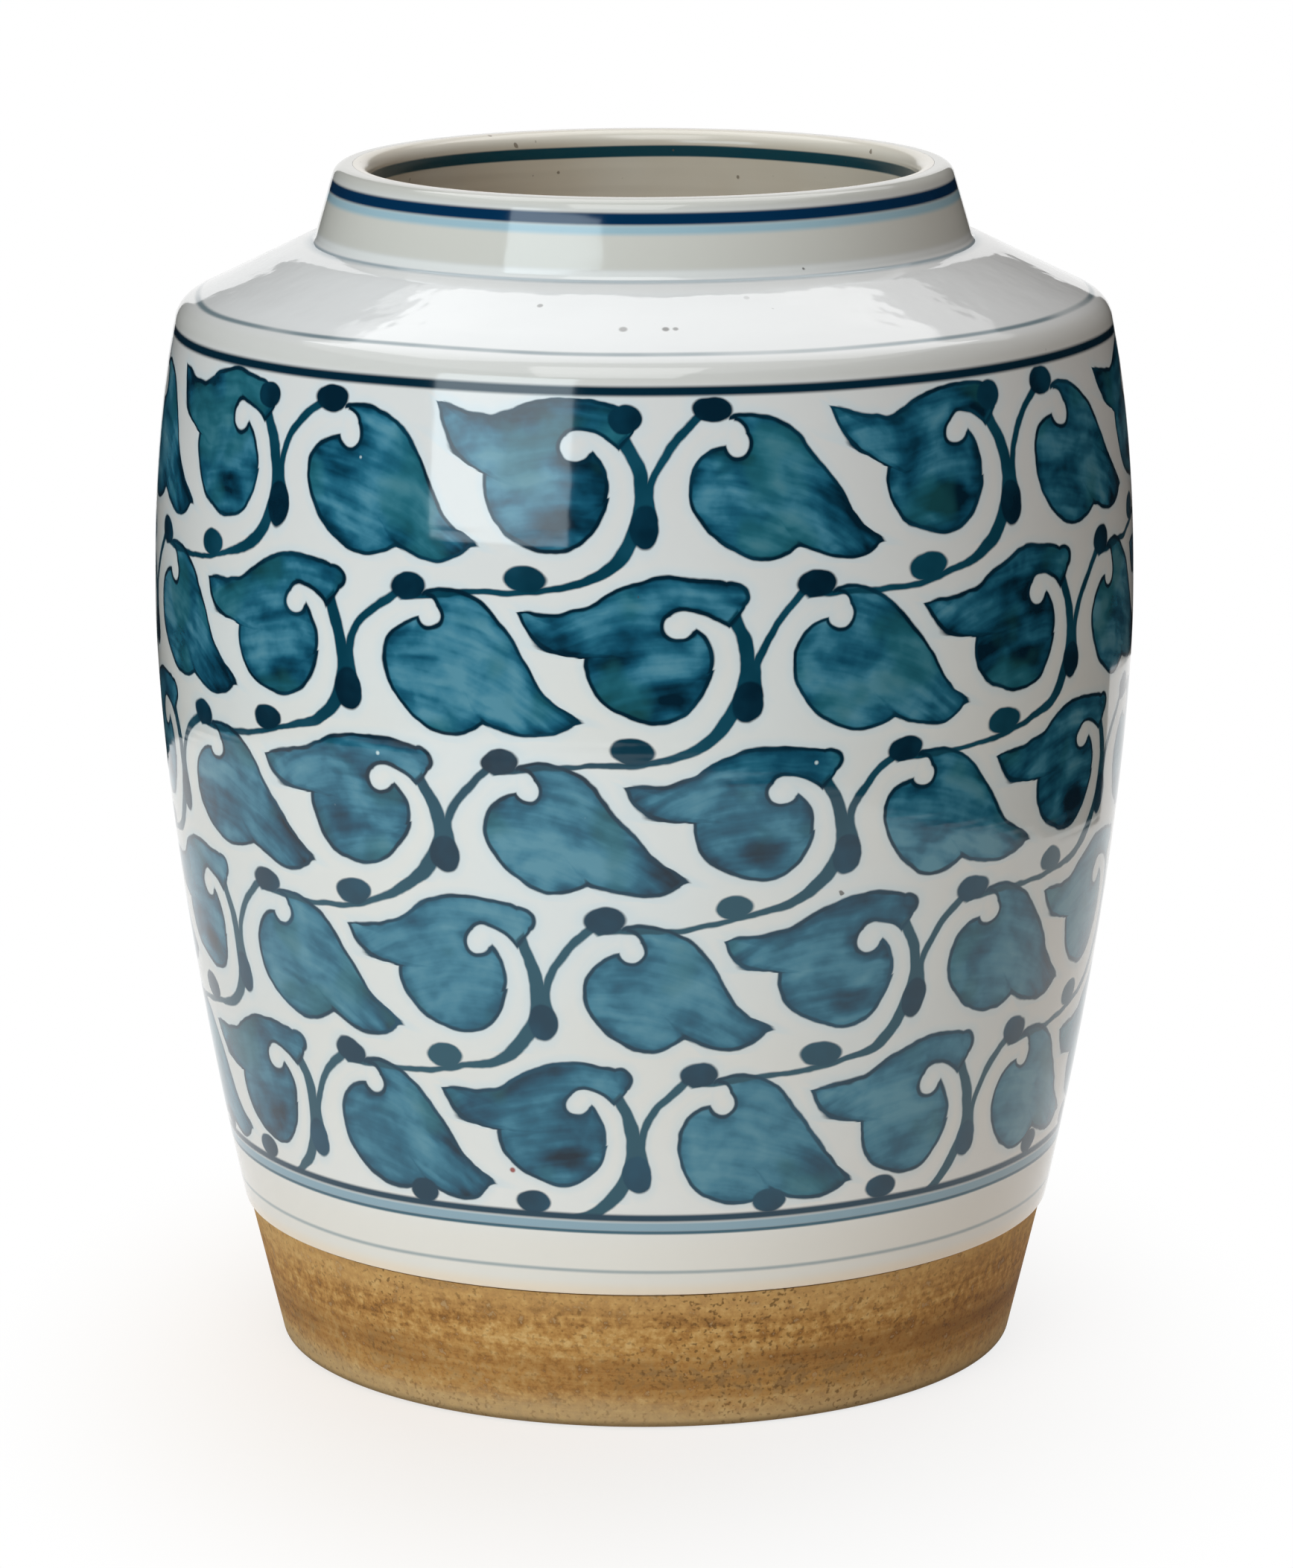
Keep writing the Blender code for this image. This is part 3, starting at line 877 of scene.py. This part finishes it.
def painted_glaze():
    finish, shader, place = new_finish("painted_glaze")
    x, y, z = parts_of(place)
    height = z * TO_MM
    turn = x.math("ARCTAN2", y * -1.0)
    ink, stems, wash, bleed, depth = vine(place, height, turn)
    mottle = noise(place, 90.0, 3.0)
    lower = height.falls(80.0, 130.0)
    stem_shade = lower.mix(mottle.rises(0.35, 0.70).mix(STEM, STEM_LIGHT), STEM_WASH)
    ink_shade = (mottle.rises(0.40, 0.75) * 0.5 + lower * 0.4).mix(INK, PETROL)
    colour = wash.mix(glaze_ground(place, height, bleed), wash_colour(place, depth))
    colour = stems.mix(colour, stem_shade)
    colour = ink.mix(colour, ink_shade)
    colour = shoulder_and_collar(height, colour)
    colour = brush_lines(place, height, colour)
    wear(shader, pits_and_pinholes(place, colour), "Base Color")
    shader.inputs["IOR"].default_value = GLAZE_IOR
    wear(shader, 0.04 + mottle * 0.06, "Roughness")

    # Throwing rings, a fine skin, and the uneven run of the glaze on the shoulder
    rings = noise(stretched(place, (6.0, 6.0, 260.0)), 1.0, 2.0)
    skin = rings * 0.4 + noise(place, 120.0, 2.0) * 0.4
    runs = noise(place, 70.0, 3.0) * height.rises(180.5, 184.0) * height.falls(188.0, 190.5)
    emboss(shader, skin + runs * 3.6, strength=0.2, distance=0.5 * MM)
    return finish


def liner_glaze():
    finish, shader, place = new_finish("liner_glaze")
    height = parts_of(place)[2] * TO_MM
    cloud = noise(place, 22.0, 3.0)
    colour = cloud.rises(0.3, 0.7).mix(LINER_CREAM, LINER_TAN)
    colour = (height.rises(200.2, 202.2) * 0.8).mix(colour, LIP_CREAM)
    wobble = noise(place, 18.0, 1.0) - 0.5
    colour = brush_line(height, MOUTH_LINE, 1.0, wobble).mix(colour, MOUTH_TEAL)
    fleck = noise(place, 500.0, 1.0)
    colour = (fleck.rises(0.74, 0.78) * 0.7).mix(colour, LINER_FLECK)
    wear(shader, colour, "Base Color")
    wear(shader, 0.12 + cloud * 0.12, "Roughness")
    rings = noise(stretched(place, (10.0, 10.0, 240.0)), 1.0, 2.0)
    emboss(shader, rings, strength=0.3, distance=0.8 * MM)
    return finish


def bare_stoneware(name, turned_on_floor=False):
    finish, shader, place = new_finish(name)
    x, y, z = parts_of(place)
    height = z * TO_MM
    if turned_on_floor:
        grooved = joined(hypot(x, y) * 700.0, 0.0, 0.0)
    else:
        grooved = stretched(place, (14.0, 14.0, 700.0))
    grooves = noise(grooved, 1.0, 3.0, 0.6)
    cloud = noise(stretched(place, (22.0, 22.0, 130.0)), 1.0, 4.0, 0.65)
    grain = noise(place, 520.0, 3.0, 0.65)
    specks = noise(place, 1300.0, 1.0)
    patch = noise(place, 38.0, 2.0)
    colour = (cloud * 0.65 + grooves * 0.45 + (grain - 0.5) * 1.1).ramp(CLAY_STOPS)
    ragged = height + (cloud - 0.5) * 9.0
    colour = (ragged.rises(17.0, 24.0) * 0.55).mix(colour, UPPER_TAN)
    sooty = ragged.rises(4.0, 8.5) * ragged.falls(9.5, 16.0)
    sooty = sooty * (0.4 + patch.rises(0.40, 0.62) * 0.6)
    colour = (sooty * (0.12 + grain.rises(0.42, 0.60) * 0.62)).mix(colour, SOOT)
    # Lighter band at the bottom: the clay's own tone and painted bounce light
    colour = (ragged.falls(1.5, 7.5) * 0.75).mix(colour, LOWER_TAN_AND_PAINTED_BOUNCE)
    speckled = specks.rises(0.56, 0.70) * (0.30 + patch.rises(0.45, 0.65) * 0.45)
    colour = speckled.mix(colour, CLAY_SPECK)
    colour = (grain.falls(0.30, 0.38) * 0.4).mix(colour, CLAY_GRIT)
    if not turned_on_floor:
        # Painted contact shade at the very bottom of the foot
        colour = (height.falls(0.5, 1.7) * 0.6).mix(colour, FOOT_CONTACT_PAINTED_SHADE)
    wear(shader, colour, "Base Color")
    shader.inputs["Specular IOR Level"].default_value = 0.2
    wear(shader, 0.62 + grain * 0.25, "Roughness")
    emboss(shader, grooves * 0.6 + grain * 0.6, strength=0.5, distance=0.5 * MM)
    return finish


# Studio, in metres and degrees
CAMERA_PLACE = (0.0003, -1.070, 0.330)
CAMERA_DIP = 12.36
CAMERA_ROLL = -0.12
LENS = 146.0
FLOOR_SIZE = 12.0
FLOOR_DROP = 0.0002
FLOOR_CLOTH = (0.95, 0.87, 0.78, 1)
# Painted warm tint of bounce light on the floor, beside the vase's left
PAINTED_WARM_BOUNCE = (1.0, 0.962, 0.920)
CARD_BLACK = (0.02, 0.02, 0.02, 1)
CARD_SIDES = 72
CARD_LIFT = 0.001
CARD_OVAL = (0.93, 1.07, 1.0)
CARD_SPREAD = (3.6, 3.6, 1.0)
CARD_HEIGHT = 1.7
ROOM_LIGHT = 0.08
WINDOW_BLUE = (0.80, 0.95, 1.03)


def lamp(name, place, aim, size, power, colour=(1, 1, 1)):
    bpy.ops.object.light_add(type="AREA", location=place)
    light = bpy.context.object
    light.name = name
    light.data.shape = "RECTANGLE"
    light.data.size, light.data.size_y = size
    light.data.energy = power
    light.data.color = colour
    light.rotation_euler = (Vector(aim) - Vector(place)).to_track_quat("-Z", "Y").to_euler()
    return light


def seen_rays(tree):
    """1 for what the camera sees, straight or in gloss and glass."""
    path = tree.nodes.new("ShaderNodeLightPath")
    kinds = ("Is Camera Ray", "Is Glossy Ray", "Is Transmission Ray")
    camera, glossy, through = (Tone(tree, path.outputs[kind]) for kind in kinds)
    return camera.most(glossy, through)


def pale_floor():
    """Floor cloth that keeps the vase's soft shadow, with a painted warm tint of bounce light
    beside its left, and runs out to white.
    """
    cloth, shader, place = new_finish("pale_floor")
    x, y, _ = parts_of(place)
    shader.inputs["Base Color"].default_value = FLOOR_CLOTH
    shader.inputs["Roughness"].default_value = 0.9
    shader.inputs["Specular IOR Level"].default_value = 0.0
    tree = place.tree
    near = hypot(x * 1.5, y + 0.02).falls(0.05, 0.18)
    left = x.falls(-0.09, 0.04)
    # Painted bounce light: the glow turns warm near the vase's left
    warm_bounce_tint = (near * left).mix((1.0, 1.0, 1.0), PAINTED_WARM_BOUNCE)
    glow = place.node("ShaderNodeEmission", None, {"Color": warm_bounce_tint, "Strength": 1.0})
    share = seen_rays(tree) * (1.0 - near * (0.23 + left * 0.08))
    sockets = {0: share, 1: Tone(tree, shader.outputs[0]), 2: glow}
    mixed = share.node("ShaderNodeMixShader", None, sockets)
    tree.links.new(mixed.socket, tree.nodes["Material Output"].inputs["Surface"])
    return cloth


def dark_finish():
    finish, shader, _ = new_finish("dark_card")
    shader.inputs["Base Color"].default_value = CARD_BLACK
    shader.inputs["Roughness"].default_value = 1.0
    shader.inputs["Specular IOR Level"].default_value = 0.0
    return finish


def dark_card(name, finish, radius, middle, first, last):
    """A card between two bearings that only the glaze mirrors, as the unlit room does."""
    bpy.ops.mesh.primitive_circle_add(vertices=CARD_SIDES, radius=radius, location=(middle, 0, 0))
    wall = bpy.context.object
    wall.name = name
    bpy.ops.object.mode_set(mode="EDIT")
    bpy.ops.mesh.select_all(action="SELECT")
    bpy.ops.transform.translate(value=(0, 0, CARD_LIFT))
    bpy.ops.transform.resize(value=CARD_OVAL)
    bpy.ops.mesh.extrude_edges_move()
    bpy.ops.transform.resize(value=CARD_SPREAD, center_override=(0, 0, 0))
    bpy.ops.mesh.extrude_edges_move(TRANSFORM_OT_translate={"value": (0, 0, CARD_HEIGHT)})
    bpy.ops.mesh.select_all(action="DESELECT")
    bpy.ops.object.mode_set(mode="OBJECT")
    for face in wall.data.polygons:
        side = math.degrees(math.atan2(face.center.x, -face.center.y))
        face.select = not first < side < last
    bpy.ops.object.mode_set(mode="EDIT")
    bpy.ops.mesh.select_mode(type="FACE")
    bpy.ops.mesh.delete(type="FACE")
    bpy.ops.object.mode_set(mode="OBJECT")
    wall.data.materials.append(finish)
    wall.visible_camera = False
    wall.visible_diffuse = False
    wall.visible_shadow = False


def set_camera():
    bpy.ops.object.select_all(action="DESELECT")
    bpy.ops.object.camera_add(location=CAMERA_PLACE)
    camera = bpy.context.object
    camera.data.lens = LENS
    camera.data.sensor_width = 36.0
    camera.data.clip_start = 0.05
    dip = Matrix.Rotation(math.radians(90.0 - CAMERA_DIP), 4, "X")
    roll = Matrix.Rotation(math.radians(CAMERA_ROLL), 4, "Z")
    camera.rotation_euler = (dip @ roll).to_euler()
    bpy.context.scene.camera = camera


def lay_ground():
    bpy.ops.mesh.primitive_plane_add(size=FLOOR_SIZE, location=(0, 0, -FLOOR_DROP))
    floor = bpy.context.object
    floor.name = "studio_floor"
    floor.data.materials.append(pale_floor())


def light_room():
    world = bpy.data.worlds.new("studio")
    bpy.context.scene.world = world
    world.use_nodes = True
    tree = world.node_tree
    sky = tree.nodes["Background"]
    sky.inputs["Color"].default_value = (1.0, 1.0, 1.0, 1)
    strength = ROOM_LIGHT + seen_rays(tree) * (1.0 - ROOM_LIGHT)
    tree.links.new(strength.socket, sky.inputs["Strength"])

    lamp("window", (-0.61, -0.95, 0.41), (0, 0, 0.15), (0.68, 0.60), 6.1, WINDOW_BLUE)
    lamp("front_top", (-0.15, -0.88, 1.28), (0, 0, 0.12), (0.8, 1.0), 7.9)
    lamp("overhead", (0.0, 0.35, 1.1), (0, 0, 0.15), (1.15, 0.7), 5.4)
    fill = lamp("back_fill", (0.35, 1.25, 0.35), (0, 0, 0.12), (0.9, 0.7), 3.5)
    fill.visible_glossy = False


def studio():
    set_camera()
    lay_ground()
    dark = dark_finish()
    dark_card("front_card", dark, 0.42, -0.06, -166, 130)
    dark_card("side_card", dark, 0.57, 0.0, 126, 168)
    light_room()
    bpy.context.scene.view_settings.view_transform = "Standard"


def dress(piece, finish, slot, *nodes):
    piece.data.materials.clear()
    piece.data.materials.append(finish)
    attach(piece, "root")
    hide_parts(*nodes)


def main():
    dress(throw_outer_glaze(), painted_glaze(), "white_glaze", "outer_glaze")
    dress(throw_liner_glaze(), liner_glaze(), "liner_glaze", "inner_glaze")
    dress(turn_foot(), bare_stoneware("bare_stoneware"), "bare_stoneware", "foot_wall")
    dress(lay_floor(), bare_stoneware("bare_floor", True), "bare_stoneware", "base_disc")
    clay = bare_stoneware("covered_clay")
    for name in ("lower_body", "upper_body", "shoulder", "neck_collar"):
        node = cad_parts[name]
        node.data.materials.clear()
        node.data.materials.append(clay)
    studio()


main()
